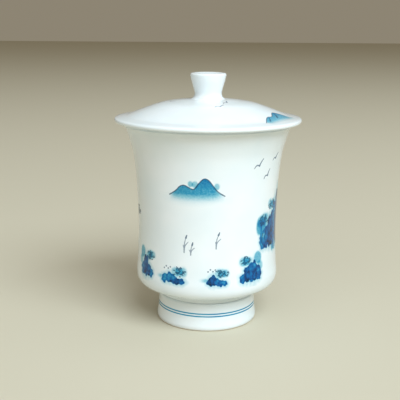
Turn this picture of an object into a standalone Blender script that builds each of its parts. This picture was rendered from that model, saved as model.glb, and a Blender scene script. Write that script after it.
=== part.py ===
"""Lidded porcelain tea cup: a tall waisted cup on a high foot, with a domed, knobbed lid.

Metres, +Z up, origin at the centre of the foot's rest plane. Sizes below are in millimetres.
Every piece is turned about the Z axis, as it is on the potter's wheel.
"""
import math

import bpy

MM = 0.001

# Driving dimensions, mm
LID_RADIUS = 42.0
LID_EDGE_HEIGHT = 92.8
KNOB_TOP_HEIGHT = 113.3
RIM_RADIUS = 38.1
WAIST_RADIUS = 31.6
WAIST_HEIGHT = 45.0
FOOT_RADIUS = 23.2
SEAM_HEIGHT = 12.6
WALL = 2.8
RIM_WALL = 2.2
CLEARANCE = 0.3

# Worked out from them
SEAT_HEIGHT = LID_EDGE_HEIGHT - 1.0
RIM_HEIGHT = SEAT_HEIGHT - CLEARANCE
NECK_RADIUS = FOOT_RADIUS - 0.7
FOOT_INNER_RADIUS = FOOT_RADIUS - 5.0
RECESS_HEIGHT = SEAM_HEIGHT + 3.6
FLOOR_HEIGHT = RECESS_HEIGHT + 4.0
FLANGE_OUTER_RADIUS = RIM_RADIUS - 5.8
FLANGE_WALL = 2.6
FLANGE_DEPTH = 5.4
DOME_HEIGHT = LID_EDGE_HEIGHT + 9.0
KNOB_BASE_HEIGHT = DOME_HEIGHT + CLEARANCE
KNOB_RADIUS = 8.1

STEPS = 48
KNOB_STEPS = 24
SHARP_ANGLE = math.radians(50)

GLAZE_COLOUR = (0.86, 0.90, 0.90, 1.0)
BISCUIT_COLOUR = (0.80, 0.76, 0.70, 1.0)


def clear_scene():
    for obj in list(bpy.data.objects):
        bpy.data.objects.remove(obj, do_unlink=True)


def make_material(name, colour, roughness):
    material = bpy.data.materials.new(name)
    material.use_nodes = True
    shader = material.node_tree.nodes["Principled BSDF"]
    shader.inputs["Base Color"].default_value = colour
    shader.inputs["Roughness"].default_value = roughness
    shader.inputs["Metallic"].default_value = 0.0
    return material


def smooth_curve(knots, pieces=2):
    """Points of a Catmull-Rom curve through the knots, with so many pieces to each span."""
    ends = [knots[0]] + list(knots) + [knots[-1]]
    points = []
    for a, b, c, d in zip(ends, ends[1:], ends[2:], ends[3:]):
        for i in range(pieces):
            t = i / pieces
            points.append(tuple(
                0.5 * (2 * q + (r - p) * t + (2 * p - 5 * q + 4 * r - s) * t ** 2
                       + (3 * q - p - 3 * r + s) * t ** 3)
                for p, q, r, s in zip(a, b, c, d)))
    return points + [tuple(knots[-1])]


def arc(centre, radius, start, end, pieces):
    """Points of a circular arc in the profile's plane, angles in degrees from the +X side."""
    points = []
    for i in range(pieces + 1):
        angle = math.radians(start + (end - start) * i / pieces)
        points.append((centre[0] + radius * math.cos(angle), centre[1] + radius * math.sin(angle)))
    return points


def offset_inwards(outline, distance):
    """The outline moved towards the axis side by a wall's thickness, square to itself."""
    moved = []
    for i, (r, z) in enumerate(outline):
        before, after = outline[max(i - 1, 0)], outline[min(i + 1, len(outline) - 1)]
        dr, dz = after[0] - before[0], after[1] - before[1]
        length = math.hypot(dr, dz)
        moved.append((r + dz / length * distance, z - dr / length * distance))
    return moved


def turned(name, profile, steps, material, collection, closed):
    """A solid of revolution: the profile's points in mm, turned about Z by a Screw modifier."""
    vertices = [(r * MM, 0.0, z * MM) for r, z in profile]
    edges = [(i, i + 1) for i in range(len(vertices) - 1)]
    if closed:
        edges.append((len(vertices) - 1, 0))
    mesh = bpy.data.meshes.new(name)
    mesh.from_pydata(vertices, edges, [])
    obj = bpy.data.objects.new(name, mesh)
    collection.objects.link(obj)
    screw = obj.modifiers.new("turn", "SCREW")
    screw.axis = "Z"
    screw.angle = math.tau
    screw.steps = steps
    screw.render_steps = steps
    screw.use_merge_vertices = True
    screw.merge_threshold = 0.00001
    screw.use_smooth_shade = True
    mesh.materials.append(material)
    return obj


def cup_outer_side():
    """The cup's outer side from just under the lip down to the turn of the base."""
    return smooth_curve([
        (RIM_RADIUS, RIM_HEIGHT - 0.9),
        (36.8, 88.6),
        (35.1, 83.4),
        (33.6, 77.2),
        (32.3, 65.0),
        (WAIST_RADIUS, WAIST_HEIGHT),
        (32.1, 29.5),
        (32.6, 23.6),
        (32.2, 20.1),
        (30.6, 17.9),
        (27.6, 16.9),
        (24.1, 16.3),
    ])


def cup_body_profile():
    """From the middle of the inner floor, up the wall, over the lip and down the outside."""
    outer = cup_outer_side()
    wall_top = (RIM_RADIUS - RIM_WALL, RIM_HEIGHT - 0.9)
    inner_wall = [point for point in offset_inwards(outer, WALL) if 26.5 < point[1] < 88.0]
    inner_wall.reverse()
    floor_turn = smooth_curve([
        (0.0, FLOOR_HEIGHT),
        (16.0, FLOOR_HEIGHT + 0.2),
        (24.0, FLOOR_HEIGHT + 1.6),
        (28.2, FLOOR_HEIGHT + 4.6),
    ])
    lip_radius = RIM_WALL / 2
    lip = arc((RIM_RADIUS - lip_radius, RIM_HEIGHT - lip_radius), lip_radius, 150, 20, 4)
    neck = smooth_curve([
        (22.8, 15.6),
        (NECK_RADIUS, 14.4),
        (NECK_RADIUS, SEAM_HEIGHT + CLEARANCE),
    ], 1)
    recess = [
        (FOOT_INNER_RADIUS, SEAM_HEIGHT + CLEARANCE),
        (FOOT_INNER_RADIUS - 0.6, RECESS_HEIGHT - 0.7),
        (FOOT_INNER_RADIUS - 2.0, RECESS_HEIGHT),
        (0.0, RECESS_HEIGHT + 0.2),
    ]
    return floor_turn + inner_wall + [wall_top] + lip + outer + neck + recess


def foot_ring_profile():
    """The raised foot: a ring with a soft outward swell, standing on a narrow flat."""
    outer = smooth_curve([
        (NECK_RADIUS, SEAM_HEIGHT),
        (NECK_RADIUS - 0.1, 9.6),
        (NECK_RADIUS + 0.2, 5.4),
        (FOOT_RADIUS, 2.1),
    ])
    edge = [(FOOT_RADIUS - 0.1, 1.0), (FOOT_RADIUS - 0.4, 0.3), (FOOT_RADIUS - 1.0, 0.0)]
    inner = [
        (FOOT_RADIUS - 3.8, 0.0),
        (FOOT_RADIUS - 4.4, 0.4),
        (FOOT_INNER_RADIUS, 3.0),
        (FOOT_INNER_RADIUS, SEAM_HEIGHT),
    ]
    return outer + edge + inner


def lid_dome_profile():
    """From the middle of the dome, out to the lip, and back under along the seat."""
    top = [(0.0, DOME_HEIGHT)] + smooth_curve([
        (7.6, DOME_HEIGHT),
        (14.0, DOME_HEIGHT - 0.6),
        (20.5, DOME_HEIGHT - 1.6),
        (26.0, DOME_HEIGHT - 3.3),
        (31.5, DOME_HEIGHT - 5.3),
        (36.0, DOME_HEIGHT - 7.0),
        (39.6, LID_EDGE_HEIGHT + 1.15),
    ])
    lip = arc((LID_RADIUS - 1.0, LID_EDGE_HEIGHT), 1.0, 60, -75, 5)
    seat = [(FLANGE_OUTER_RADIUS + 1.0, SEAT_HEIGHT), (FLANGE_OUTER_RADIUS - FLANGE_WALL - 0.8, SEAT_HEIGHT)]
    hollow = smooth_curve([
        (FLANGE_OUTER_RADIUS - FLANGE_WALL - 2.0, SEAT_HEIGHT + 1.2),
        (22.0, DOME_HEIGHT - 5.4),
        (12.0, DOME_HEIGHT - 3.9),
        (0.0, DOME_HEIGHT - 3.4),
    ])
    return top + lip + [(RIM_RADIUS - 2.0, SEAT_HEIGHT)] + seat + hollow


def lid_flange_profile():
    """The ring under the lid that drops inside the cup's mouth and keeps the lid central."""
    top = SEAT_HEIGHT - CLEARANCE
    bottom = top - FLANGE_DEPTH
    inner = FLANGE_OUTER_RADIUS - FLANGE_WALL
    return [
        (FLANGE_OUTER_RADIUS + 0.4, top),
        (FLANGE_OUTER_RADIUS, top - 1.4),
        (FLANGE_OUTER_RADIUS - 0.3, bottom + 1.0),
        (FLANGE_OUTER_RADIUS - 1.0, bottom + 0.2),
        (inner + 0.9, bottom),
        (inner + 0.2, bottom + 0.8),
        (inner, bottom + 2.4),
        (inner, top),
    ]


def lid_knob_profile():
    """The waisted knob: a shallow dish on top, a soft lip, a narrow neck and a spread base."""
    dish = smooth_curve([
        (0.0, KNOB_TOP_HEIGHT - 0.9),
        (4.0, KNOB_TOP_HEIGHT - 0.6),
        (KNOB_RADIUS - 1.1, KNOB_TOP_HEIGHT),
    ])
    lip = arc((KNOB_RADIUS - 0.9, KNOB_TOP_HEIGHT - 0.9), 0.9, 70, -10, 3)
    side = smooth_curve([
        (7.5, 109.6),
        (6.6, 106.6),
        (6.1, 104.4),
        (6.5, 102.9),
        (7.3, KNOB_BASE_HEIGHT),
    ])
    return dish + lip + side + [(0.0, KNOB_BASE_HEIGHT)]


def build():
    clear_scene()
    collection = bpy.data.collections.new("lidded_tea_cup")
    bpy.context.scene.collection.children.link(collection)
    glaze = make_material("glazed_porcelain", GLAZE_COLOUR, 0.12)
    biscuit = make_material("foot_porcelain", BISCUIT_COLOUR, 0.35)

    turned("cup_body", cup_body_profile(), STEPS, glaze, collection, closed=False)
    turned("foot_ring", foot_ring_profile(), STEPS, biscuit, collection, closed=True)
    turned("lid_dome", lid_dome_profile(), STEPS, glaze, collection, closed=False)
    turned("lid_flange", lid_flange_profile(), STEPS, glaze, collection, closed=True)
    turned("lid_knob", lid_knob_profile(), KNOB_STEPS, glaze, collection, closed=False)

    for obj in collection.objects:
        obj.data.set_sharp_from_angle(angle=SHARP_ANGLE)


build()
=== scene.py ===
"""Lidded porcelain tea cup, underglaze blue landscape on a bluish-white glaze."""
import math

import bpy
import numpy as np
from mathutils import Matrix, Vector


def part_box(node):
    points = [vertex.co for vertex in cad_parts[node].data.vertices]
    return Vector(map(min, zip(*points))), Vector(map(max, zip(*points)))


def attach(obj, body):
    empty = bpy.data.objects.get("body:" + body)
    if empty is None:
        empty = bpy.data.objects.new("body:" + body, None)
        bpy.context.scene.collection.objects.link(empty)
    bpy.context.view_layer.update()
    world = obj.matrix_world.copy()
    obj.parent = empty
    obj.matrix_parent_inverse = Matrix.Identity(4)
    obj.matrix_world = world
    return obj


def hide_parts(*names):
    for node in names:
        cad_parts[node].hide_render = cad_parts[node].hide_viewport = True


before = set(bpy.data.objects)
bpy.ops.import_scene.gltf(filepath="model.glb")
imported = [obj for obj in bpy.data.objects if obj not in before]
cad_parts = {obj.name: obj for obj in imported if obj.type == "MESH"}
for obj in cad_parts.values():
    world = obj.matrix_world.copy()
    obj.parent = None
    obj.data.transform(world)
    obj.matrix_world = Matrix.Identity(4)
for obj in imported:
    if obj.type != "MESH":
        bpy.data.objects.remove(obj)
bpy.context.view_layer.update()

bl_info = {
    "name": "Lidded Tea Cup",
    "version": (1, 0, 0),
    "blender": (4, 5, 0),
    "location": "View3D > Sidebar > Tea Cup",
    "description": "Builds a lidded porcelain tea cup with an underglaze blue landscape",
    "category": "Add Mesh",
}

MM = 0.001


def top_mm(node):
    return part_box(node)[1][2] / MM


def bottom_mm(node):
    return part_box(node)[0][2] / MM


def radius_mm(node):
    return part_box(node)[1][0] / MM


# Sizes read from the frame, in millimetres
RIM_RADIUS = radius_mm("cup_body")
RIM_HEIGHT = top_mm("cup_body")
NECK_BOTTOM = bottom_mm("cup_body")
SEAM_HEIGHT = top_mm("foot_ring")
FOOT_RADIUS = radius_mm("foot_ring")
LID_RADIUS = radius_mm("lid_dome")
SEAT_HEIGHT = bottom_mm("lid_dome")
DOME_HEIGHT = top_mm("lid_dome")
FLANGE_RADIUS = radius_mm("lid_flange")
FLANGE_BOTTOM = bottom_mm("lid_flange")
KNOB_RADIUS = radius_mm("lid_knob")
KNOB_TOP = top_mm("lid_knob")

# Shape of the turned outlines, in millimetres
WAIST_RADIUS = 31.6
WAIST_HEIGHT = 45.0
BELLY_RADIUS = 32.6
RIM_WALL = 2.2
LIP_EDGE = 0.9
NECK_RADIUS = FOOT_RADIUS - 0.7
FOOT_INNER_RADIUS = FOOT_RADIUS - 5.0
RECESS_HEIGHT = SEAM_HEIGHT + 3.6
FLOOR_HEIGHT = RECESS_HEIGHT + 4.0
LIP_HEIGHT = SEAT_HEIGHT + 1.0
FLANGE_INNER_RADIUS = FLANGE_RADIUS - 3.0
# The inner wall follows the outer one between these heights. Below, it turns into the floor
INNER_WALL_BOTTOM = 26.5
INNER_WALL_TOP = 88.0
FLOOR_TURN_RADIUS = 28.2
# Points closer than this are one point
MERGE_DISTANCE = 0.005

# The painted part of the wall, and the radius at which it is unrolled, in millimetres
PAINT_BOTTOM = 22.0
PAINT_TOP = 88.0
WALL_RADIUS = 32.0
# The painted ring of the lid, between the knob and the brim's edge, in millimetres
LID_PAINT_INNER = 9.0
LID_PAINT_OUTER = 39.5
# Faces are cut in two rounds within these distances of a brush edge, in millimetres, and in the
# first round wherever the wash is stronger than this
CUT_REACHES = (0.7, 0.36)
WASH_SEEN = 0.05
# Farther than this from a brush edge, in millimetres, nothing of it is seen
FAR = 4.0
# The two blue lines round the foot, in millimetres
FOOT_LINES = (8.0, 6.85)
FOOT_LINE_HALF_WIDTH = 0.27
FOOT_MIDDLE_RADIUS = 20.5
# The bare edges that stood on the kiln shelf, in millimetres
FOOT_BISCUIT_TOP = 0.55
FLANGE_BISCUIT_TOP = FLANGE_BOTTOM + 0.7


def linear(hex_colour):
    """An sRGB hex colour as linear RGBA."""
    channels = [int(hex_colour[i:i + 2], 16) / 255 for i in (1, 3, 5)]
    return tuple(c / 12.92 if c <= 0.04045 else ((c + 0.055) / 1.055) ** 2.4 for c in channels) + (1.0,)


# ---------------------------------------------------------------- properties

def colour(name, description, hex_colour):
    return bpy.props.FloatVectorProperty(
        name=name, description=description, subtype="COLOR", size=3, min=0.0, max=1.0,
        default=linear(hex_colour)[:3])


class TeaCupShape(bpy.types.PropertyGroup):
    steps: bpy.props.IntProperty(
        name="Steps", description="Segments round each turned piece", default=240, min=48, max=360)
    row: bpy.props.FloatProperty(
        name="Row Height", description="Height of one row of faces",
        subtype="DISTANCE", unit="LENGTH", precision=4, default=0.9 * MM, min=0.3 * MM, max=4.0 * MM)
    wall: bpy.props.FloatProperty(
        name="Wall", description="Thickness of the cup's wall",
        subtype="DISTANCE", unit="LENGTH", precision=4, default=2.8 * MM, min=1.5 * MM, max=5.0 * MM)


class TeaCupGlaze(bpy.types.PropertyGroup):
    glaze: colour("Glaze", "Clear glaze over the white body", "#F1F8FD")
    biscuit: colour("Biscuit", "Bare fired body where the cup stood in the kiln", "#E9E0D0")
    mist: colour("Mist", "Thinnest wash of cobalt", "#D3E8F1")
    pale: colour("Pale Blue", "Thin wash of cobalt", "#86C5D8")
    teal: colour("Teal", "Full wash of cobalt", "#2F98BE")
    mid: colour("Mid Blue", "Washes laid over each other", "#0073AE")
    cobalt: colour("Cobalt", "Thick cobalt", "#005798")
    deep: colour("Deep Cobalt", "Thickest cobalt in the stones", "#004078")
    ink: colour("Darkest Cobalt", "Cobalt where it pooled deepest", "#002843")
    outline: colour("Drawn line", "Lines and dots drawn with a fine brush", "#04466A")
    roughness: bpy.props.FloatProperty(
        name="Gloss Loss", description="Roughness of the fired glaze", subtype="FACTOR",
        default=0.08, min=0.0, max=0.5)


class TeaCupStage(bpy.types.PropertyGroup):
    floor: colour("Floor", "Plain pale floor", "#CFC9B6")
    room: colour("Room", "Light that comes from all round", "#F6E8CB")
    room_strength: bpy.props.FloatProperty(
        name="Room Strength", description="Strength of the light from all round",
        default=0.29, min=0.0, max=4.0)
    window_power: bpy.props.FloatProperty(
        name="Window Power", description="Power of the large light at the front right",
        subtype="POWER", unit="POWER", default=69.0, min=0.0, max=500.0)
    top_power: bpy.props.FloatProperty(
        name="Top Power", description="Power of the large light overhead",
        subtype="POWER", unit="POWER", default=9.0, min=0.0, max=500.0)
    fill_power: bpy.props.FloatProperty(
        name="Fill Power", description="Power of the weak light at the front left",
        subtype="POWER", unit="POWER", default=6.0, min=0.0, max=500.0)


# ---------------------------------------------------------------- small tools

def deselect_all():
    if bpy.context.object and bpy.context.object.mode != "OBJECT":
        bpy.ops.object.mode_set(mode="OBJECT")
    bpy.ops.object.select_all(action="DESELECT")


def smooth_curve(knots, spacing):
    """Points of a Catmull-Rom curve through the knots, about the spacing apart."""
    ends = [knots[0]] + list(knots) + [knots[-1]]
    points = []
    for a, b, c, d in zip(ends, ends[1:], ends[2:], ends[3:]):
        pieces = max(1, round(math.dist(b, c) / spacing))
        for i in range(pieces):
            t = i / pieces
            points.append(tuple(
                0.5 * (2 * q + (r - p) * t + (2 * p - 5 * q + 4 * r - s) * t ** 2
                       + (3 * q - p - 3 * r + s) * t ** 3)
                for p, q, r, s in zip(a, b, c, d)))
    return points + [tuple(knots[-1])]


def arc(centre, radius, start, end, pieces):
    """Points of a circular arc in the profile's plane, angles in degrees from the +X side."""
    angles = [math.radians(start + (end - start) * i / pieces) for i in range(pieces + 1)]
    return [(centre[0] + radius * math.cos(a), centre[1] + radius * math.sin(a)) for a in angles]


def offset_inwards(outline, distance):
    """The outline moved towards the axis side by a wall's thickness, square to itself."""
    moved = []
    for i, (r, z) in enumerate(outline):
        before, after = outline[max(i - 1, 0)], outline[min(i + 1, len(outline) - 1)]
        dr, dz = after[0] - before[0], after[1] - before[1]
        length = math.hypot(dr, dz)
        moved.append((r + dz / length * distance, z - dr / length * distance))
    return moved


def turn_on_wheel(name, profile, steps, closed=False):
    """A turned piece: one vertex drawn along the profile, then spun round the Z axis."""
    deselect_all()
    bpy.ops.mesh.primitive_plane_add(size=2 * MM, location=(0, 0, 0))
    piece = bpy.context.object
    piece.name = piece.data.name = name
    bpy.ops.object.mode_set(mode="EDIT")
    bpy.ops.mesh.select_mode(type="VERT")
    bpy.ops.mesh.select_all(action="SELECT")
    bpy.ops.mesh.merge(type="CENTER")
    route = list(profile) + ([profile[0]] if closed else [])
    bpy.ops.transform.translate(value=(route[0][0] * MM, 0, route[0][1] * MM))
    for here, there in zip(route, route[1:]):
        move = ((there[0] - here[0]) * MM, 0, (there[1] - here[1]) * MM)
        bpy.ops.mesh.extrude_region_move(TRANSFORM_OT_translate={"value": move})
    bpy.ops.mesh.select_all(action="SELECT")
    bpy.ops.mesh.remove_doubles(threshold=MERGE_DISTANCE * MM)
    bpy.ops.mesh.select_all(action="SELECT")
    bpy.ops.mesh.spin(steps=steps, angle=math.tau, center=(0, 0, 0), axis=(0, 0, 1))
    bpy.ops.mesh.select_all(action="SELECT")
    bpy.ops.mesh.remove_doubles(threshold=MERGE_DISTANCE * MM)
    bpy.ops.mesh.normals_make_consistent(inside=False)
    bpy.ops.object.mode_set(mode="OBJECT")
    bpy.ops.object.shade_smooth()
    return piece


def points_mm(piece):
    """The piece's vertices as an array of X, Y, Z in millimetres."""
    flat = np.empty(len(piece.data.vertices) * 3, dtype=np.float64)
    piece.data.vertices.foreach_get("co", flat)
    return flat.reshape(-1, 3) / MM


def split_faces(piece, wanted):
    """Cuts in four every face that has a wanted vertex."""
    mesh = piece.data
    starts = np.empty(len(mesh.polygons), dtype=np.int64)
    mesh.polygons.foreach_get("loop_start", starts)
    corners = np.empty(len(mesh.loops), dtype=np.int64)
    mesh.loops.foreach_get("vertex_index", corners)
    chosen = np.maximum.reduceat(wanted[corners].astype(np.int8), starts) > 0
    deselect_all()
    piece.select_set(True)
    bpy.context.view_layer.objects.active = piece
    bpy.ops.object.mode_set(mode="EDIT")
    bpy.ops.mesh.select_mode(type="FACE")
    bpy.ops.mesh.select_all(action="DESELECT")
    bpy.ops.object.mode_set(mode="OBJECT")
    mesh.polygons.foreach_set("select", chosen)
    bpy.ops.object.mode_set(mode="EDIT")
    bpy.ops.mesh.subdivide(number_cuts=1, quadcorner="INNERVERT")
    bpy.ops.object.mode_set(mode="OBJECT")


def decorate(piece, surface, paint_at):
    """Splits the faces along the brushwork, puts the new points back on the turned surface, and
    keeps the brushwork as attributes. surface gives which points are painted, and their true place.
    """
    for turn, reach in enumerate(CUT_REACHES):
        painted, points = surface(points_mm(piece))
        paint = paint_at(points[painted])
        edges = (np.abs(paint.line) < reach) | (np.abs(paint.rock) < reach)
        if turn == 0:
            edges |= paint.wash > WASH_SEEN
        wanted = np.zeros(len(points), dtype=bool)
        wanted[np.nonzero(painted)[0][edges]] = True
        split_faces(piece, wanted)
        painted, points = surface(points_mm(piece))
        piece.data.vertices.foreach_set("co", (points * MM).astype(np.float32).ravel())
        piece.data.update()
    paint = paint_at(points[painted])
    for name, blank in (("wash", 0.0), ("rock", FAR), ("depth", 0.0), ("line", FAR), ("ink", 0.0)):
        values = np.full(len(points), blank, dtype=np.float32)
        values[painted] = getattr(paint, name)
        piece.data.attributes.new(name, "FLOAT", "POINT").data.foreach_set("value", values)


def finish_piece(piece, body, node, material):
    piece.data.materials.clear()
    piece.data.materials.append(material)
    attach(piece, body)
    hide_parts(node)


# ---------------------------------------------------------------- brushwork

class Brushwork:
    """Underglaze blue at the points of a surface, laid down motif by motif.

    wash is the strength of thin, soft-edged colour. rock and line are distances in millimetres to
    the edges of the dense patches and of the fine strokes, negative inside, and depth and ink
    their strengths.
    """

    def __init__(self, count):
        self.wash = np.zeros(count)
        self.rock = np.full(count, FAR)
        self.depth = np.zeros(count)
        self.line = np.full(count, FAR)
        self.ink = np.zeros(count)

    def look(self, x, y):
        """Sets where the points lie in the view that is painted next: x to the right, y up."""
        self.x, self.y = x, y

    def near(self, cx, cy, reach):
        """Points within reach of a place, and where they lie seen from it."""
        dx, dy = self.x - cx, self.y - cy
        hit = np.nonzero((np.abs(dx) < reach) & (np.abs(dy) < reach))[0]
        return hit, dx[hit], dy[hit]

    def pool(self, cx, cy, rx, ry, strength, soft=0.4, turn=0.0):
        """An oval pool of thin wash, a little darker where it dried at the edge."""
        hit, dx, dy = self.near(cx, cy, max(rx, ry) + 3 * soft)
        c, s = math.cos(math.radians(turn)), math.sin(math.radians(turn))
        ex, ey = (c * dx + s * dy) / rx, (c * dy - s * dx) / ry
        edge = (np.hypot(ex, ey) - 1) * min(rx, ry)
        cover = 1 / (1 + np.exp(np.clip(edge / (0.35 * soft), -30, 30)))
        rim = 0.16 * np.exp(-((edge + 0.5 * soft) / (0.6 * soft)) ** 2)
        added = strength * np.clip(cover + rim * cover, 0, 1)
        self.wash[hit] = 1 - (1 - self.wash[hit]) * (1 - added)

    def boulder(self, cx, cy, lumps, lights=()):
        """Stones run together, with a scalloped edge and darker seams. A lump is its place, half
        sizes and tone, and a light is its place, reach and how much lighter it is."""
        reach = max(math.hypot(x, y) + max(rx, ry) for x, y, rx, ry, _ in lumps) + FAR
        hit, dx, dy = self.near(cx, cy, reach)
        joined, weights, tone, seams = (np.zeros(len(hit)) for _ in range(4))
        for x, y, rx, ry, shade in lumps:
            edge = (np.hypot((dx - x) / rx, (dy - y) / ry) - 1) * min(rx, ry)
            weight = np.exp(np.clip(-edge / 0.4, -40, 40))
            tone += weight * shade
            weights += weight
            seams = np.maximum(seams, np.exp(-(edge / 0.28) ** 2))
            joined += np.exp(np.clip(-edge / 0.12, -60, 60))
            scallops = max(5, round(math.pi * (rx + ry) / 2.1))
            for i in range(scallops):
                angle = math.tau * (i + 0.3 * math.sin(2.3 * i + x)) / scallops
                inset, size = 0.86 + 0.08 * math.sin(1.7 * i + y), 0.62 + 0.16 * math.sin(2.9 * i + x + y)
                bx, by = x + inset * rx * math.cos(angle), y + inset * ry * math.sin(angle)
                bump = np.hypot(dx - bx, dy - by) - size
                joined += np.exp(np.clip(-bump / 0.15, -60, 60))
        edge = -0.12 * np.log(np.maximum(joined, 1e-26))
        tone = tone / weights + 0.05 * seams + 0.07 * np.exp(-((edge + 0.25) / 0.3) ** 2)
        for x, y, r, lighter in lights:
            tone -= lighter * np.exp(-((dx - x) ** 2 + (dy - y) ** 2) / r ** 2)
        nearer = edge < self.rock[hit]
        self.depth[hit] = np.where(nearer, tone, self.depth[hit])
        self.rock[hit] = np.minimum(self.rock[hit], np.minimum(edge, FAR))

    def stroke(self, cx, cy, knots, widths, ink):
        """A brush line through the knots, its half-width changing evenly from end to end."""
        route = smooth_curve(knots, 0.5) if len(knots) > 2 else list(knots)
        reach = max(math.hypot(x, y) for x, y in knots) + FAR
        hit, dx, dy = self.near(cx, cy, reach)
        best = np.full(len(hit), FAR)
        last = len(route) - 1
        for i, (a, b) in enumerate(zip(route, route[1:])):
            vx, vy = b[0] - a[0], b[1] - a[1]
            along = np.clip(((dx - a[0]) * vx + (dy - a[1]) * vy) / (vx * vx + vy * vy), 0, 1)
            half = widths[0] + (widths[1] - widths[0]) * (i + along) / last
            best = np.minimum(best, np.hypot(dx - a[0] - along * vx, dy - a[1] - along * vy) - half)
        self.draw(hit, best, ink)

    def dot(self, cx, cy, radius, ink):
        hit, dx, dy = self.near(cx, cy, FAR)
        self.draw(hit, np.hypot(dx, dy) - radius, ink)

    def draw(self, hit, edge, ink):
        nearer = edge < self.line[hit]
        self.ink[hit] = np.where(nearer, ink, self.ink[hit])
        self.line[hit] = np.minimum(self.line[hit], edge)


# ---------------------------------------------------------------- motifs

def bird(paint, at, span, turn=0.0):
    """Two wing strokes that meet in a dot."""
    c, s = math.cos(math.radians(turn)), math.sin(math.radians(turn))

    def place(x, y):
        return (span * (c * x - s * y), span * (s * x + c * y))

    paint.stroke(*at, [place(-0.55, -0.16), place(-0.3, 0.08), place(0, 0)], (0.13, 0.25), 0.8)
    paint.stroke(*at, [place(0, 0), place(0.16, 0.26), place(0.42, 0.55)], (0.27, 0.13), 0.84)
    paint.dot(*at, 0.34, 0.93)


def reeds(paint, at, height, sway):
    """A tuft of curved blades from one foot that lean with the wind, the tallest with a seed head."""
    for lean, share in ((-1.3, 0.5), (0, 1.0), (1.0, 0.72)):
        tip = (lean + sway, share * height)
        paint.stroke(*at, [(0, 0), (0.2 * tip[0], 0.6 * tip[1]), tip], (0.2, 0.11), 0.6 + 0.1 * share)
    paint.stroke(at[0] + sway, at[1] + height, [(0, 0), (0.5 * sway, 1.2)], (0.34, 0.16), 0.88)


def dabs(paint, at, rx, ry, count, ink, seed, half_width=0.22):
    """Short leaf strokes strewn over an oval."""
    draw = np.random.default_rng(seed)
    for _ in range(count):
        angle, far = draw.uniform(0, math.tau), math.sqrt(draw.uniform(0, 1))
        x, y = 0.88 * rx * far * math.cos(angle), 0.88 * ry * far * math.sin(angle)
        slope = draw.uniform(-1.2, 1.2)
        paint.stroke(at[0] + x, at[1] + y, [(-0.3, -0.3 * slope), (0.3, 0.3 * slope)],
                     (1.1 * half_width, 0.8 * half_width), ink)


def shrub(paint, at, rx, ry, strength, count, ink=0.85, seed=1):
    """A pale round bush, dabbed with short leaf strokes."""
    paint.pool(*at, rx, ry, strength)
    dabs(paint, at, rx, ry, count, ink, seed)


def leaf_dots(paint, at, places, radius, ink):
    for x, y in places:
        paint.dot(at[0] + x, at[1] + y, radius, ink)


def far_hill(paint, at, ridge, base, top_tone, low_tone, fade, line_ink=0.88):
    """A hill: wash under a ridge line, deepest at the top and lost in mist below the base."""
    knots = smooth_curve(ridge, 0.4)
    xs, ys = zip(*knots)
    hit, dx, dy = paint.near(*at, max(abs(xs[0]), abs(xs[-1])) + 2)
    crest = np.interp(dx, xs, ys, left=-99, right=-99)
    cover = 1 / (1 + np.exp(np.clip((dy - crest) / 0.1, -30, 30)))
    level = np.clip((dy - base) / (max(ys) - base), 0, 1)
    tone = low_tone + (top_tone - low_tone) * level ** 1.4
    mist = np.clip(1 + (dy - base) / fade, 0, 1) ** 1.3
    ends = np.clip((dx - xs[0]) / 2.5, 0, 1) * np.clip((xs[-1] - dx) / 5.0, 0, 1)
    paint.wash[hit] = np.maximum(paint.wash[hit], cover * tone * mist * ends ** 0.5)
    paint.stroke(*at, ridge, (0.19, 0.18), line_ink)


def misty_hills(paint, height):
    """A low hill and a taller one beside it, over mist, with a few far trees in the saddle."""
    far_hill(paint, (0, height),
             [(-11, -1), (-8, 1), (-6, 3), (-4, 3.5), (-2, 2.5), (0, 2), (2, 4.5), (4, 6.5), (6, 6),
              (8, 3.5), (10, 1), (13, -1)],
             0.0, 0.67, 0.49, 4.0)
    paint.pool(0, height - 2.5, 10, 2, 0.12, soft=2.2)
    for x, y, size in ((-1.5, 4.2, 1.1), (0.5, 4.0, 1.3), (9.5, 3.2, 1.2)):
        paint.pool(x, height + y, size, 1.2 * size, 0.34)


def pile(paint, at, width, height, count, peak, seed, veins=False):
    """Stones side by side, tallest at the peak, which runs from -1 at the left to 1 at the right."""
    draw = np.random.default_rng(seed)
    lumps, lights = [], []
    for i in range(count):
        share = 2 * (i + 0.5) / count - 1
        half = 0.5 * height * max(0.34, 1 - 0.7 * abs(share - peak)) * draw.uniform(0.88, 1.1)
        x = 0.5 * width * share + draw.uniform(-0.3, 0.3)
        half_width = width / count * draw.uniform(0.66, 0.9)
        lumps.append((x, half, half_width, half, draw.uniform(0.7, 0.95)))
        lights.append((x + 0.3, 1.5 * half, 0.8 * half_width, draw.uniform(0.04, 0.24)))
        if veins:
            paint.stroke(*at, [(x, 1.7 * half), (x - 0.8, half), (x + 0.2, 0.4 * half)],
                         (0.32, 0.14), 0.72)
    paint.boulder(*at, lumps, lights)


def bushes(paint, at, size, seed):
    """Three round bushes that run together, dabbed all over with leaves."""
    draw = np.random.default_rng(seed)
    for x in (-1, 0, 1):
        paint.pool(at[0] + 0.8 * size * x, at[1] + draw.uniform(-0.3, 0.3) * size,
                   size * draw.uniform(0.7, 0.95), size * draw.uniform(0.75, 1.1), 0.3, soft=0.7)
    dabs(paint, at, 1.5 * size, size, round(11 * size), 0.86, seed, half_width=0.19)


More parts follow.
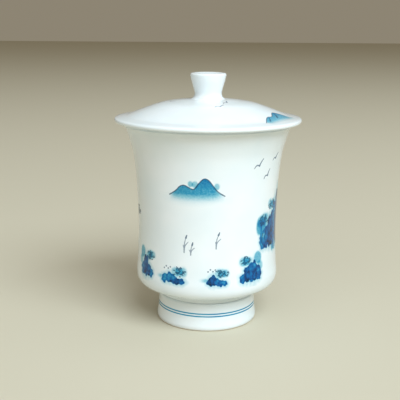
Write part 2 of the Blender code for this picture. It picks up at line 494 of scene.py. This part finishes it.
def low_shore(paint, seed):
    """A low bank of stones, with bushes behind it and thin wash at its end."""
    draw = np.random.default_rng(seed)
    side = draw.choice((-1, 1))
    width, height = draw.uniform(7.5, 10.5), draw.uniform(4.0, 5.4)
    bushes(paint, (0.3 * side * width, 30), draw.uniform(1.8, 2.4), seed + 1)
    paint.pool(-0.55 * side * width, 27, 2.6, 1.0, 0.34, soft=0.8)
    pile(paint, (0, 25), width, height, 5, -0.4 * side, seed + 2)
    leaf_dots(paint, (-0.3 * side * width, 31), [(-1.6, 0), (-0.6, 0.9), (0.5, 0.1), (1.5, 0.8)], 0.32, 0.72)


def high_shore(paint, seed):
    """A taller stack of stones, with round trees behind it and a leafy crown."""
    draw = np.random.default_rng(seed)
    side = draw.choice((-1, 1))
    width, height = draw.uniform(8.5, 11), draw.uniform(9, 11.5)
    paint.pool(4.2 * side, 35, 2.4, 2.8, 0.42, soft=0.7)
    paint.pool(5.6 * side, 31, 1.9, 2.2, 0.32, soft=0.7)
    bushes(paint, (-2.6 * side, 34.5), 2.1, seed + 1)
    pile(paint, (0, 25), width, height, 5, 0.2 * side, seed + 2)


def cliff(paint):
    """A broad cliff, hung with round trees down its sides and along its foot."""
    draw = np.random.default_rng(46)
    for x in range(-15, 16, 3):
        paint.pool(x, 39 + 0.5 * abs(x) + draw.uniform(-2, 2), draw.uniform(1.9, 2.8),
                   draw.uniform(3.0, 5.0), 0.46, turn=draw.uniform(-15, 15), soft=0.7)
    bushes(paint, (-12, 51), 2.8, 48)
    bushes(paint, (-5, 57), 2.6, 51)
    pile(paint, (0, 38), 28, 23, 10, 0.1, seed=47, veins=True)
    bushes(paint, (4, 60), 2.8, 49)


def leaning_tree(paint):
    """A dark trunk that leans over a small bank, with its leaves in two dense tufts."""
    paint.stroke(0, 50, [(-8, -10), (-6, -5), (-4, 0), (-1, 3)], (0.85, 0.5), 0.96)
    paint.stroke(0, 50, [(-4, 0), (-6, 2), (-8, 2.5)], (0.4, 0.2), 0.9)
    dabs(paint, (0, 53), 2.6, 2.2, 30, 1.0, seed=22, half_width=0.4)
    shrub(paint, (-9, 53), 2.8, 2.0, 0.34, 16, 0.9, seed=21)
    pile(paint, (-9, 36), 9, 4.5, 4, 0.0, seed=50)


def paint_wall(points):
    """The landscape round the wall."""
    paint = Brushwork(len(points))
    azimuth = np.degrees(np.arctan2(points[:, 0], -points[:, 1]))

    def face(centre, flip=1):
        turn = (azimuth - centre + 180) % 360 - 180
        paint.look(flip * np.radians(turn) * WALL_RADIUS, points[:, 2])

    for centre, flip, height in ((-10, 1, 65), (174, -1, 68), (226, 1, 64)):
        face(centre, flip)
        misty_hills(paint, height)
    for centre, motif, seed in (
            (-56, high_shore, 60), (-27, low_shore, 70), (8, low_shore, 80), (37, high_shore, 90),
            (130, high_shore, 100), (158, low_shore, 110), (188, low_shore, 120), (218, high_shore, 130),
            (250, low_shore, 140)):
        face(centre)
        motif(paint, seed)
    face(73)
    cliff(paint)
    face(-74)
    leaning_tree(paint)
    face(0)
    for x, y, height, sway in ((-10, 39, 6.5, 0.8), (-7, 38, 4.5, 0.6), (4, 41, 6, 1.0)):
        reeds(paint, (x, y), height, sway)
    for x, y, span, turn in ((23, 76, 5, 5), (29, 71, 4.5, 12), (34, 78, 4, 0)):
        bird(paint, (x, y), span, turn)
    face(180)
    for x, y, height, sway in ((-15, 42, 6, 0.8), (-8, 40, 5, 0.6), (10, 43, 6.5, 1.0), (28, 40, 5, 0.7)):
        reeds(paint, (x, y), height, sway)
    for x, y, span, turn in ((-38, 77, 4.6, 10), (-32, 80, 4.2, 0), (33, 75, 4.8, 16)):
        bird(paint, (x, y), span, turn)
    return paint


def lid_hills(paint, height):
    """Two low hills in soft wash, with a stroke of shade down each."""
    far_hill(paint, (0, height),
             [(-12, 1), (-8, 3), (-5, 3.8), (-2, 3.4), (2, 5.4), (5, 6), (9, 4), (14, 1)],
             1.0, 0.62, 0.42, 4.0, 0.7)
    paint.stroke(0, height, [(4, 5.4), (2.5, 3.6), (0.5, 2)], (0.2, 0.45), 0.7)
    paint.stroke(0, height, [(-5, 3.2), (-6.5, 2), (-8, 1.2)], (0.2, 0.4), 0.62)


def paint_lid(points):
    """Hills, birds and reeds round the lid, each upright towards the knob."""
    paint = Brushwork(len(points))

    def face(centre):
        c, s = math.cos(math.radians(centre)), math.sin(math.radians(centre))
        paint.look(c * points[:, 0] + s * points[:, 1], c * points[:, 1] - s * points[:, 0])

    for centre, height in ((60, -36), (184, -36)):
        face(centre)
        lid_hills(paint, height)
    for centre, radius, span, turn in (
            (36, 14, 5, 5), (15, 20, 4.5, -5), (152, 20, 4.2, 8), (140, 16, 3.8, 0),
            (268, 22, 4.2, 12), (280, 17, 3.8, 0)):
        face(centre)
        bird(paint, (0, -radius), span, turn)
    for centre, radius in ((122, 33), (250, 33), (262, 35)):
        face(centre)
        reeds(paint, (0, -radius), 5.5, 0.8)
    return paint


# ---------------------------------------------------------------- materials

def add_node(tree, kind, inputs=None, output=0, **settings):
    """Adds a node with its settings, its inputs set or linked, and gives one of its outputs."""
    node = tree.nodes.new(kind)
    for name, value in settings.items():
        setattr(node, name, value)
    for name, value in (inputs or {}).items():
        if isinstance(value, bpy.types.NodeSocket):
            tree.links.new(value, node.inputs[name])
        else:
            node.inputs[name].default_value = value
    return node.outputs[output] if node.outputs else node


def cobalt_density(tree, place):
    """How thick the wash and the drawn ink lie under the glaze, from the brushwork kept on the
    mesh. Cobalt creeps a little in the firing, so every edge is wavy and soft, and washes are
    grainy."""
    attribute = {name: add_node(tree, "ShaderNodeAttribute", output="Fac", attribute_name=name)
                 for name in ("wash", "rock", "depth", "line", "ink")}
    # Waves per millimetre and how far each carries an edge or a tone
    noise = {}
    for name, per_mm, low, high in (("creep", 0.75, -0.16, 0.16), ("cloud", 0.6, -0.2, 0.09),
                                    ("grain", 1.5, 0.88, 1.1), ("bristle", 2.6, -0.06, 0.06)):
        waves = add_node(tree, "ShaderNodeTexNoise", {
            "Vector": place, "Scale": per_mm / MM, "Detail": 3.0})
        noise[name] = add_node(tree, "ShaderNodeMapRange", {
            "Value": waves, "From Min": 0.32, "From Max": 0.68, "To Min": low, "To Max": high})
    rock_edge = add_node(tree, "ShaderNodeMath", {0: attribute["rock"], 1: noise["creep"]})
    rock_cover = add_node(tree, "ShaderNodeMapRange", {
        "Value": rock_edge, "From Min": 0.15, "From Max": -0.12}, interpolation_type="SMOOTHSTEP")
    halo = add_node(tree, "ShaderNodeMapRange", {
        "Value": rock_edge, "From Min": 1.7, "From Max": -0.1, "To Max": 0.25},
        interpolation_type="SMOOTHSTEP")
    depth = add_node(tree, "ShaderNodeMath", {0: attribute["depth"], 1: noise["cloud"]})
    wash = add_node(tree, "ShaderNodeMath", {0: attribute["wash"], 1: noise["grain"]}, operation="MULTIPLY")
    thin = add_node(tree, "ShaderNodeMath", {0: wash, 1: halo}, operation="MAXIMUM")
    lift = add_node(tree, "ShaderNodeMath", {0: depth, 1: thin}, operation="SUBTRACT")
    laid = add_node(tree, "ShaderNodeMath", {0: lift, 1: rock_cover, 2: thin}, operation="MULTIPLY_ADD")
    line_edge = add_node(tree, "ShaderNodeMath", {0: attribute["line"], 1: noise["bristle"]})
    line_cover = add_node(tree, "ShaderNodeMapRange", {
        "Value": line_edge, "From Min": 0.17, "From Max": -0.05}, interpolation_type="SMOOTHSTEP")
    inked = add_node(tree, "ShaderNodeMath", {0: attribute["ink"], 1: line_cover}, operation="MULTIPLY")
    return laid, inked


def foot_line_density(tree, height):
    """Two thin blue lines banded on the wheel, a little uneven where the brush was reloaded."""
    place = add_node(tree, "ShaderNodeTexCoord", output="Object")
    load = add_node(tree, "ShaderNodeTexNoise", {"Vector": place, "Scale": 0.12 / MM, "Detail": 2.0})
    strength = add_node(tree, "ShaderNodeMapRange", {
        "Value": load, "From Min": 0.3, "From Max": 0.7, "To Min": 0.48, "To Max": 0.62})
    total = None
    for line in FOOT_LINES:
        offset = add_node(tree, "ShaderNodeMath", {0: height, 1: line * MM}, operation="SUBTRACT")
        away = add_node(tree, "ShaderNodeMath", {0: offset}, operation="ABSOLUTE")
        cover = add_node(tree, "ShaderNodeMapRange", {
            "Value": away, "From Min": (FOOT_LINE_HALF_WIDTH + 0.16) * MM,
            "From Max": (FOOT_LINE_HALF_WIDTH - 0.1) * MM}, interpolation_type="SMOOTHSTEP")
        total = cover if total is None else add_node(
            tree, "ShaderNodeMath", {0: total, 1: cover}, operation="MAXIMUM")
    # Only the outer face was banded: the inner face lies nearer the axis
    flat = add_node(tree, "ShaderNodeVectorMath", {0: place, 1: (1.0, 1.0, 0.0)}, operation="MULTIPLY")
    from_axis = add_node(tree, "ShaderNodeVectorMath", {0: flat}, output="Value", operation="LENGTH")
    outside = add_node(tree, "ShaderNodeMath", {0: from_axis, 1: FOOT_MIDDLE_RADIUS * MM},
                       operation="GREATER_THAN")
    banded = add_node(tree, "ShaderNodeMath", {0: strength, 1: outside}, operation="MULTIPLY")
    return add_node(tree, "ShaderNodeMath", {0: total, 1: banded}, operation="MULTIPLY")


def glazed_porcelain(name, painted=False, lined=False, biscuit_top=None):
    """Hard-paste porcelain: a white, slightly translucent body under a clear, faintly blue glaze.

    The glaze was dipped and fired to a wet gloss, so it shows soft reflections, a slight waviness
    and a few pinholes. Cobalt lies under it. An edge that stood on the kiln shelf is bare biscuit:
    warmer, matt and sandy.
    """
    look = bpy.context.scene.tea_cup_glaze
    material = bpy.data.materials.new(name)
    material.use_nodes = True
    tree = material.node_tree
    tree.nodes.clear()
    place = add_node(tree, "ShaderNodeTexCoord", output="Object")
    height = add_node(tree, "ShaderNodeSeparateXYZ", {"Vector": place}, output="Z")

    # Where the glaze ran thicker it is a shade greener and bluer, in patches about 16 mm across
    run = add_node(tree, "ShaderNodeTexNoise", {"Vector": place, "Scale": 0.06 / MM, "Detail": 2.0})
    tint = add_node(tree, "ShaderNodeMapRange", {
        "Value": run, "From Min": 0.3, "From Max": 0.7, "To Max": 0.045})
    density, inked = tint, None
    if painted:
        wash, inked = cobalt_density(tree, place)
        density = add_node(tree, "ShaderNodeMath", {0: wash, 1: tint}, operation="MAXIMUM")
    if lined:
        lines = foot_line_density(tree, height)
        density = add_node(tree, "ShaderNodeMath", {0: lines, 1: tint}, operation="MAXIMUM")
    ramp = add_node(tree, "ShaderNodeValToRGB", {"Fac": density}).node
    stops = ((0.0, look.glaze), (0.16, look.mist), (0.34, look.pale), (0.5, look.teal), (0.66, look.mid),
             (0.8, look.cobalt), (0.9, look.deep), (1.0, look.ink))
    for position, _ in stops[1:-1]:
        ramp.color_ramp.elements.new(position)
    for element, (position, shade) in zip(ramp.color_ramp.elements, stops):
        element.position = position
        element.color = (*shade, 1.0)

    # Pinholes and iron specks, 0.2 to 0.3 mm across and few: about one to 25 square centimetres
    cells = add_node(tree, "ShaderNodeTexVoronoi", {"Vector": place, "Scale": 0.11 / MM}, output="Distance")
    speck = add_node(tree, "ShaderNodeMapRange", {
        "Value": cells, "From Min": 0.017, "From Max": 0.009, "To Max": 0.45})
    surface = ramp.outputs["Color"]
    if inked:
        surface = add_node(tree, "ShaderNodeMix", {
            0: inked, 6: surface, 7: (*look.outline, 1.0)}, output=2, data_type="RGBA")
    surface = add_node(tree, "ShaderNodeMix", {
        0: speck, 6: surface, 7: linear("#8A8478")}, output=2, data_type="RGBA")

    roughness = add_node(tree, "ShaderNodeMapRange", {
        "Value": run, "From Min": 0.3, "From Max": 0.7,
        "To Min": 0.8 * look.roughness, "To Max": 1.4 * look.roughness})
    if biscuit_top is not None:
        sand = add_node(tree, "ShaderNodeTexNoise", {"Vector": place, "Scale": 1.2 / MM, "Detail": 4.0})
        ragged = add_node(tree, "ShaderNodeMapRange", {
            "Value": sand, "From Min": 0.3, "From Max": 0.7, "To Min": -0.12 * MM, "To Max": 0.12 * MM})
        level = add_node(tree, "ShaderNodeMath", {0: height, 1: ragged})
        bare = add_node(tree, "ShaderNodeMapRange", {
            "Value": level, "From Min": (biscuit_top + 0.08) * MM, "From Max": (biscuit_top - 0.04) * MM})
        surface = add_node(tree, "ShaderNodeMix", {
            0: bare, 6: surface, 7: (*look.biscuit, 1.0)}, output=2, data_type="RGBA")
        roughness = add_node(tree, "ShaderNodeMath", {0: bare, 1: 0.6, 2: roughness},
                             operation="MULTIPLY_ADD")

    peel = add_node(tree, "ShaderNodeTexNoise", {"Vector": place, "Scale": 0.22 / MM, "Detail": 2.0})
    bump = add_node(tree, "ShaderNodeBump", {
        "Strength": 0.06, "Distance": 0.1 * MM, "Height": peel}, "Normal")
    shader = add_node(tree, "ShaderNodeBsdfPrincipled", {
        "Base Color": surface, "Roughness": roughness, "IOR": 1.5, "Specular IOR Level": 0.35,
        "Subsurface Weight": 0.06, "Subsurface Radius": (1.0, 0.9, 0.8), "Subsurface Scale": 1.2 * MM,
        "Normal": bump})
    add_node(tree, "ShaderNodeOutputMaterial", {"Surface": shader})
    return material


# ---------------------------------------------------------------- pieces

def cup_outer_side(spacing):
    """The wall's outer side, from just under the lip to the turn of the base."""
    return smooth_curve([
        (RIM_RADIUS, RIM_HEIGHT - LIP_EDGE),
        (RIM_RADIUS - 1.3, 88.6),
        (RIM_RADIUS - 3.0, 83.4),
        (RIM_RADIUS - 4.5, 77.2),
        (WAIST_RADIUS + 0.7, 65.0),
        (WAIST_RADIUS, WAIST_HEIGHT),
        (BELLY_RADIUS - 0.5, 29.5),
        (BELLY_RADIUS, 23.6),
        (BELLY_RADIUS - 0.4, 20.1),
        (BELLY_RADIUS - 2.0, 17.9),
        (BELLY_RADIUS - 5.0, 16.9),
        (BELLY_RADIUS - 8.5, 16.3),
    ], spacing)


def cup_profile(row, wall):
    """From the middle of the inner floor, up the wall, over the lip and down the outside."""
    inner_wall = [p for p in offset_inwards(cup_outer_side(2.4 * row), wall)
                  if INNER_WALL_BOTTOM < p[1] < INNER_WALL_TOP]
    inner_wall.reverse()
    floor_turn = smooth_curve([
        (0.0, FLOOR_HEIGHT), (16.0, FLOOR_HEIGHT + 0.2), (24.0, FLOOR_HEIGHT + 1.6),
        (FLOOR_TURN_RADIUS, FLOOR_HEIGHT + 4.6)], 2.0)
    half = RIM_WALL / 2
    lip = arc((RIM_RADIUS - half, RIM_HEIGHT - half), half, 165, 20, 9)
    neck = smooth_curve([
        (NECK_RADIUS + 0.3, SEAM_HEIGHT + 3.0), (NECK_RADIUS, SEAM_HEIGHT + 1.8),
        (NECK_RADIUS, NECK_BOTTOM + 0.35), (NECK_RADIUS - 0.4, NECK_BOTTOM)], 0.4)
    recess = smooth_curve([
        (FOOT_INNER_RADIUS, NECK_BOTTOM), (FOOT_INNER_RADIUS - 0.6, RECESS_HEIGHT - 0.7),
        (FOOT_INNER_RADIUS - 2.0, RECESS_HEIGHT), (0.0, RECESS_HEIGHT + 0.2)], 1.6)
    return floor_turn + inner_wall + lip + cup_outer_side(row) + neck + recess


def foot_profile():
    """The foot ring, with a soft outward swell and a shallow groove where it joins the body."""
    outer = smooth_curve([
        (NECK_RADIUS - 0.5, SEAM_HEIGHT + 0.15), (NECK_RADIUS, SEAM_HEIGHT - 0.4), (NECK_RADIUS - 0.1, 9.6),
        (NECK_RADIUS + 0.2, 5.4), (FOOT_RADIUS, 2.1), (FOOT_RADIUS - 0.1, 1.0), (FOOT_RADIUS - 0.4, 0.3),
        (FOOT_RADIUS - 1.0, 0.0)], 0.35)
    inner = smooth_curve([
        (FOOT_RADIUS - 3.8, 0.0), (FOOT_RADIUS - 4.4, 0.4), (FOOT_INNER_RADIUS, 3.0),
        (FOOT_INNER_RADIUS, SEAM_HEIGHT + 0.15)], 0.8)
    return outer + inner


def lid_top_side(spacing):
    """The lid's upper side, from the middle out to the lip, with a soft crease inside the brim."""
    return smooth_curve([
        (0.0, DOME_HEIGHT), (7.6, DOME_HEIGHT), (14.0, DOME_HEIGHT - 0.6), (20.5, DOME_HEIGHT - 1.6),
        (26.0, DOME_HEIGHT - 3.3), (31.5, DOME_HEIGHT - 5.3), (35.4, DOME_HEIGHT - 6.85),
        (36.7, DOME_HEIGHT - 7.27), (38.0, DOME_HEIGHT - 7.5), (39.9, LIP_HEIGHT + 1.12)], spacing)


def lid_profile(row):
    """From the middle of the dome, out over the lip, and back under along the seat."""
    lip = arc((LID_RADIUS - 1.0, LIP_HEIGHT), 1.0, 60, -75, 10)
    under = smooth_curve([(RIM_RADIUS - 2.0, SEAT_HEIGHT), (FLANGE_INNER_RADIUS - 0.8, SEAT_HEIGHT)], 1.5)
    hollow = smooth_curve([
        (FLANGE_INNER_RADIUS - 2.0, SEAT_HEIGHT + 1.2), (22.0, DOME_HEIGHT - 5.4),
        (12.0, DOME_HEIGHT - 3.9), (0.0, DOME_HEIGHT - 3.4)], 1.8)
    return lid_top_side(row) + lip + under + hollow


def flange_profile():
    """The ring under the lid, tapered so that it drops into the mouth easily."""
    outer, inner, bottom = FLANGE_RADIUS, FLANGE_INNER_RADIUS, FLANGE_BOTTOM
    return smooth_curve([
        (outer, SEAT_HEIGHT), (outer - 0.4, SEAT_HEIGHT - 1.7), (outer - 0.7, bottom + 1.0),
        (outer - 1.4, bottom + 0.2), (inner + 0.9, bottom), (inner + 0.2, bottom + 0.8),
        (inner, bottom + 2.4), (inner, SEAT_HEIGHT)], 0.5)


def knob_profile():
    """A shallow dish on top, a soft lip, a narrow neck and a fillet of slip at the base."""
    dish = smooth_curve([(0.0, KNOB_TOP - 0.9), (4.0, KNOB_TOP - 0.6), (KNOB_RADIUS - 1.1, KNOB_TOP)], 0.5)
    lip = arc((KNOB_RADIUS - 0.9, KNOB_TOP - 0.9), 0.9, 70, -10, 8)
    side = smooth_curve([
        (KNOB_RADIUS - 0.6, KNOB_TOP - 3.7), (KNOB_RADIUS - 1.5, KNOB_TOP - 6.7),
        (KNOB_RADIUS - 2.0, KNOB_TOP - 8.9), (KNOB_RADIUS - 1.6, DOME_HEIGHT + 1.1),
        (KNOB_RADIUS - 0.5, DOME_HEIGHT + 0.1), (KNOB_RADIUS + 0.8, DOME_HEIGHT - 0.2)], 0.4)
    return dish + lip + side + [(0.0, DOME_HEIGHT - 0.2)]


class TEACUP_OT_cup_body(bpy.types.Operator):
    """Turns the cup's body and paints the landscape on its wall"""
    bl_idname = "teacup.cup_body"
    bl_label = "Cup Body"

    def execute(self, context):
        shape = context.scene.tea_cup_shape
        profile = cup_profile(shape.row / MM, shape.wall / MM)
        piece = turn_on_wheel("cup_body_glazed", profile, shape.steps)
        side = np.array(cup_outer_side(0.1))[::-1]
        side = side[side[:, 1] > PAINT_BOTTOM - 1]

        def wall_surface(points):
            radius = np.hypot(points[:, 0], points[:, 1])
            true = np.interp(points[:, 2], side[:, 1], side[:, 0])
            painted = (np.abs(radius - true) < 1.0) & (points[:, 2] > PAINT_BOTTOM)
            painted &= points[:, 2] < PAINT_TOP
            points[painted, :2] *= (true[painted] / radius[painted])[:, None]
            return painted, points

        decorate(piece, wall_surface, paint_wall)
        finish_piece(piece, "cup", "cup_body",
                     glazed_porcelain("glazed_porcelain_landscape", painted=True))
        return {"FINISHED"}


class TEACUP_OT_foot_ring(bpy.types.Operator):
    """Turns the foot ring, with its two blue lines and its bare edge"""
    bl_idname = "teacup.foot_ring"
    bl_label = "Foot Ring"

    def execute(self, context):
        steps = context.scene.tea_cup_shape.steps
        piece = turn_on_wheel("foot_ring_glazed", foot_profile(), steps, closed=True)
        finish_piece(piece, "cup", "foot_ring",
                     glazed_porcelain("glazed_porcelain_banded", lined=True, biscuit_top=FOOT_BISCUIT_TOP))
        return {"FINISHED"}


class TEACUP_OT_lid_dome(bpy.types.Operator):
    """Turns the lid's dome and paints its upper side"""
    bl_idname = "teacup.lid_dome"
    bl_label = "Lid Dome"

    def execute(self, context):
        shape = context.scene.tea_cup_shape
        piece = turn_on_wheel("lid_dome_glazed", lid_profile(shape.row / MM), shape.steps)
        side = np.array(lid_top_side(0.1))

        def lid_surface(points):
            radius = np.hypot(points[:, 0], points[:, 1])
            true = np.interp(radius, side[:, 0], side[:, 1])
            painted = (np.abs(points[:, 2] - true) < 0.4) & (radius > LID_PAINT_INNER)
            painted &= radius < LID_PAINT_OUTER
            points[painted, 2] = true[painted]
            return painted, points

        decorate(piece, lid_surface, paint_lid)
        finish_piece(piece, "lid", "lid_dome",
                     glazed_porcelain("glazed_porcelain_lid", painted=True))
        return {"FINISHED"}


class TEACUP_OT_lid_flange(bpy.types.Operator):
    """Turns the ring under the lid that sits inside the cup's mouth"""
    bl_idname = "teacup.lid_flange"
    bl_label = "Lid Flange"

    def execute(self, context):
        steps = context.scene.tea_cup_shape.steps
        piece = turn_on_wheel("lid_flange_glazed", flange_profile(), steps, closed=True)
        finish_piece(piece, "lid", "lid_flange",
                     glazed_porcelain("glazed_porcelain_flange", biscuit_top=FLANGE_BISCUIT_TOP))
        return {"FINISHED"}


class TEACUP_OT_lid_knob(bpy.types.Operator):
    """Turns the knob"""
    bl_idname = "teacup.lid_knob"
    bl_label = "Lid Knob"

    def execute(self, context):
        piece = turn_on_wheel("lid_knob_glazed", knob_profile(), context.scene.tea_cup_shape.steps // 2)
        finish_piece(piece, "lid", "lid_knob", glazed_porcelain("glazed_porcelain_knob"))
        return {"FINISHED"}


# ---------------------------------------------------------------- stage

# Metres, then degrees, then the lens in millimetres
CAMERA_DISTANCE = 0.3473
CAMERA_HEIGHT = 0.1339
CAMERA_PITCH = 12.76
CAMERA_YAW = -0.552
CAMERA_ROLL = 0.38
CAMERA_LENS = 69.5
# What the lights aim at, and each light's place and size in metres, power setting and colour
CUP_MIDDLE = (0, 0, 0.06)
LIGHTS = (
    ("window", (0.92, -1.56, 1.8), (1.9, 1.3), "window_power", "#ECF8FF"),
    ("fill", (-0.9, -1.7, 1.6), (1.6, 1.2), "fill_power", "#F4F8FF"),
    ("overhead", (0.2, -0.1, 2.2), (1.8, 1.8), "top_power", "#F6FDFF"),
)


def add_area_light(name, place, size, power, shade):
    bpy.ops.object.light_add(type="AREA", location=place)
    light = bpy.context.object
    light.name = name
    light.data.shape = "RECTANGLE"
    light.data.size, light.data.size_y = size
    light.data.energy = power
    light.data.color = linear(shade)[:3]
    light.rotation_euler = (Vector(CUP_MIDDLE) - Vector(place)).to_track_quat("-Z", "Y").to_euler()


class TEACUP_OT_stage(bpy.types.Operator):
    """Adds the floor, the soft lights and the camera"""
    bl_idname = "teacup.stage"
    bl_label = "Stage"

    def execute(self, context):
        stage = context.scene.tea_cup_stage
        deselect_all()
        bpy.ops.mesh.primitive_plane_add(size=12.0, location=(0, 0, 0))
        floor = bpy.context.object
        floor.name = "floor"
        paper = bpy.data.materials.new("pale_paper")
        paper.use_nodes = True
        shader = paper.node_tree.nodes["Principled BSDF"]
        shader.inputs["Base Color"].default_value = (*stage.floor, 1.0)
        shader.inputs["Roughness"].default_value = 0.85
        floor.data.materials.append(paper)

        room = bpy.data.worlds.new("soft_room")
        context.scene.world = room
        room.use_nodes = True
        light_all_round = room.node_tree.nodes["Background"]
        light_all_round.inputs["Color"].default_value = (*stage.room, 1.0)
        light_all_round.inputs["Strength"].default_value = stage.room_strength
        context.scene.view_settings.view_transform = "Standard"

        for name, place, size, power, shade in LIGHTS:
            add_area_light(name, place, size, getattr(stage, power), shade)

        bpy.ops.object.camera_add(location=(0, -CAMERA_DISTANCE, CAMERA_HEIGHT))
        camera = context.object
        camera.data.lens = CAMERA_LENS
        camera.data.clip_start = 0.01
        turn = (Matrix.Rotation(math.radians(-CAMERA_YAW), 4, "Z")
                @ Matrix.Rotation(math.radians(90 - CAMERA_PITCH), 4, "X")
                @ Matrix.Rotation(math.radians(CAMERA_ROLL), 4, "Z"))
        camera.matrix_world = Matrix.Translation((0, -CAMERA_DISTANCE, CAMERA_HEIGHT)) @ turn
        context.scene.camera = camera
        return {"FINISHED"}


# ---------------------------------------------------------------- add-on

class TEACUP_PT_panel(bpy.types.Panel):
    """Sizes, colours and buttons, in the order the pieces are built"""
    bl_idname = "TEACUP_PT_panel"
    bl_label = "Tea Cup"
    bl_space_type = "VIEW_3D"
    bl_region_type = "UI"
    bl_category = "Tea Cup"

    def draw(self, context):
        for group, kind in GROUPS.items():
            for name in kind.__annotations__:
                self.layout.prop(getattr(context.scene, group), name)
        for operator in OPERATORS:
            self.layout.operator(operator.bl_idname)


GROUPS = {"tea_cup_shape": TeaCupShape, "tea_cup_glaze": TeaCupGlaze, "tea_cup_stage": TeaCupStage}
OPERATORS = [
    TEACUP_OT_stage, TEACUP_OT_cup_body, TEACUP_OT_foot_ring, TEACUP_OT_lid_dome, TEACUP_OT_lid_flange,
    TEACUP_OT_lid_knob,
]
CLASSES = list(GROUPS.values()) + OPERATORS + [TEACUP_PT_panel]


def register():
    for cls in CLASSES:
        bpy.utils.register_class(cls)
    for name, group in GROUPS.items():
        setattr(bpy.types.Scene, name, bpy.props.PointerProperty(type=group))


def unregister():
    for name in GROUPS:
        delattr(bpy.types.Scene, name)
    for cls in reversed(CLASSES):
        bpy.utils.unregister_class(cls)


def main():
    register()
    for operator in OPERATORS:
        name = operator.bl_idname.split(".")[1]
        getattr(bpy.ops.teacup, name)()


if __name__ == "__main__":
    main()
